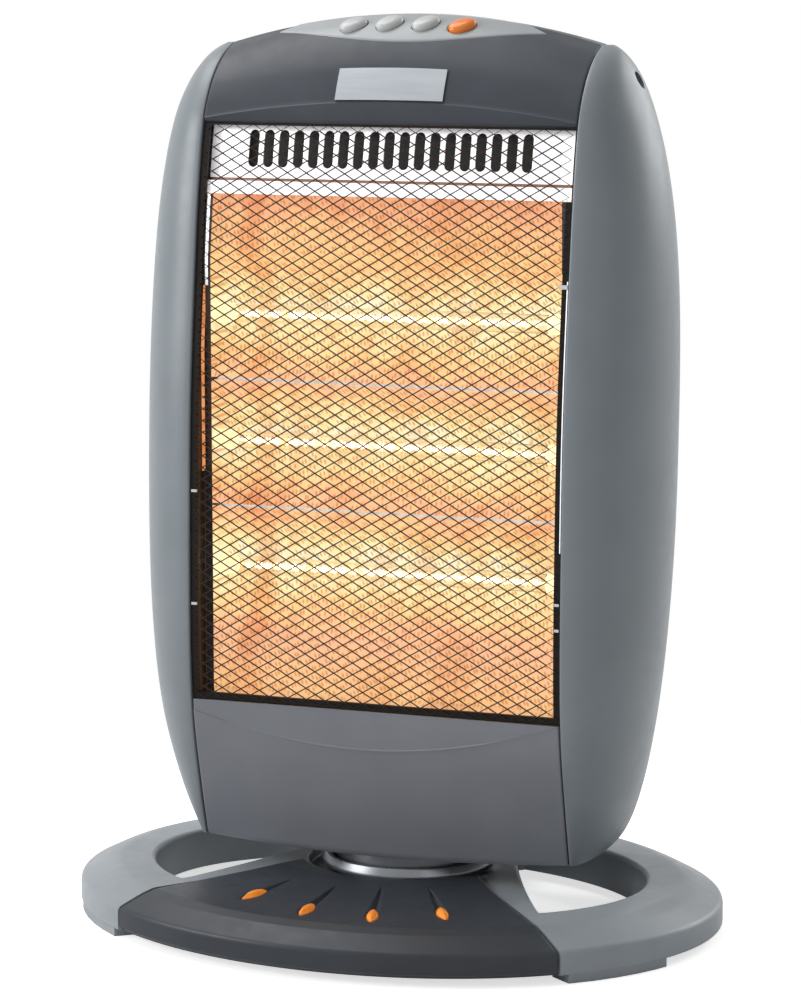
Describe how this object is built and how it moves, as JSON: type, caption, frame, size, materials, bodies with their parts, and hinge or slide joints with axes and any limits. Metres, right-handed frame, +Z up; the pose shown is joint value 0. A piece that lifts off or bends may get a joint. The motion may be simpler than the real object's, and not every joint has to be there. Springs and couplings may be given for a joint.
{
  "type": "swinging halogen heater",
  "caption": "Upright halogen room heater with bulging casings, quartz tubes behind a diamond mesh, push buttons on top, swinging on an oval foot.",
  "frame": {"origin": "centre of the oval foot on the floor, at the bottom of the foot pads", "axes": "X to the right seen from the front, +Y towards the back, +Z up; the row is at rest with the heater facing straight ahead (-Y)"},
  "size_m": [0.4, 0.305, 0.5427],
  "materials": {
    "light_grey_plastic": "satin",
    "charcoal_plastic": "satin",
    "grey_plastic": "satin",
    "orange_plastic": "gloss",
    "black_rubber": "matte",
    "black_plastic": "matte",
    "black_painted_steel": "satin",
    "polished_aluminium": "polished",
    "bright_steel": "bright",
    "zinc_steel": "zinc plated",
    "white_plastic": "natural",
    "quartz_glass": "clear, warm tint",
    "glowing_wire": "hot tungsten wire",
    "ceramic": "unglazed ceramic"
  },
  "bodies": {
    "base": {"base_ring": "light_grey_plastic", "base_plate": "charcoal_plastic", "wedge_cover": "charcoal_plastic", "leaf_inserts": "orange_plastic", "foot_pads": "light_grey_plastic", "thrust_washer": "white_plastic", "yoke_arm": "zinc_steel", "tip_switch": "black_plastic", "tip_spring": "zinc_steel", "base_screws": "zinc_steel"},
    "tip_plunger": {"tip_plunger": "orange_plastic"},
    "heater_body": {"turntable_collar": "grey_plastic", "pivot_tube": "zinc_steel", "pivot_nut": "bright_steel", "floor_plate": "black_painted_steel", "left_casing": "grey_plastic", "right_casing": "grey_plastic", "top_cover": "charcoal_plastic", "control_panel": "light_grey_plastic", "switch_block": "black_plastic", "badge_plate": "polished_aluminium", "lower_cover": "grey_plastic", "rear_cover": "grey_plastic", "grille_frame": "black_plastic", "grille_mesh": "black_painted_steel", "grille_clips": "bright_steel", "upper_reflector": "polished_aluminium", "reflector": "polished_aluminium", "left_end_plate": "black_painted_steel", "right_end_plate": "black_painted_steel", "tube_lower": "quartz_glass", "tube_middle": "quartz_glass", "tube_upper": "quartz_glass", "filament_lower": "glowing_wire", "filament_middle": "glowing_wire", "filament_upper": "glowing_wire", "end_caps": "ceramic", "tube_clips": "zinc_steel", "heat_shield": "zinc_steel", "swing_motor": "zinc_steel", "thermal_cutout": "black_plastic", "terminal_block": "white_plastic", "cord_bush": "black_rubber", "rear_screws": "zinc_steel"},
    "crank": {"crank_disc": "white_plastic"},
    "low_button": {"button_low": "light_grey_plastic"},
    "medium_button": {"button_medium": "light_grey_plastic"},
    "high_button": {"button_high": "light_grey_plastic"},
    "swing_button": {"button_swing": "orange_plastic"}
  },
  "joints": [
    {"name": "body_swivel", "type": "hinge", "parent": "base", "child": "heater_body", "pos_m": [0, 0.022, 0.045], "axis": [0, 0, 1], "range_deg": [-35, 35]},
    {"name": "crank_spin", "type": "hinge", "parent": "heater_body", "child": "crank", "pos_m": [0, -0.00388, 0.0586], "axis": [0, 0, 1], "range_deg": [-91, 91]},
    {"name": "tip_plunger_drop", "type": "slide", "parent": "base", "child": "tip_plunger", "axis": [0, 0, -1], "range_m": [0, 0.005], "stiffness_N_per_m": 100, "springref_m": 0.006, "deforming": ["tip_spring"]},
    {"name": "low_button_press", "type": "slide", "parent": "heater_body", "child": "low_button", "axis": [0, 0.5, -0.866], "range_m": [0, 0.003], "stiffness_N_per_m": 300, "springref_m": -0.001},
    {"name": "medium_button_press", "type": "slide", "parent": "heater_body", "child": "medium_button", "axis": [0, 0.5, -0.866], "range_m": [0, 0.003], "stiffness_N_per_m": 300, "springref_m": -0.001},
    {"name": "high_button_press", "type": "slide", "parent": "heater_body", "child": "high_button", "axis": [0, 0.5, -0.866], "range_m": [0, 0.003], "stiffness_N_per_m": 300, "springref_m": -0.001},
    {"name": "swing_button_press", "type": "slide", "parent": "heater_body", "child": "swing_button", "axis": [0, 0.5, -0.866], "range_m": [0, 0.003], "stiffness_N_per_m": 300, "springref_m": -0.001}
  ],
  "couplings": [
    {"joint": "crank_spin", "follows": "body_swivel", "ratio": -2.5714}
  ]
}
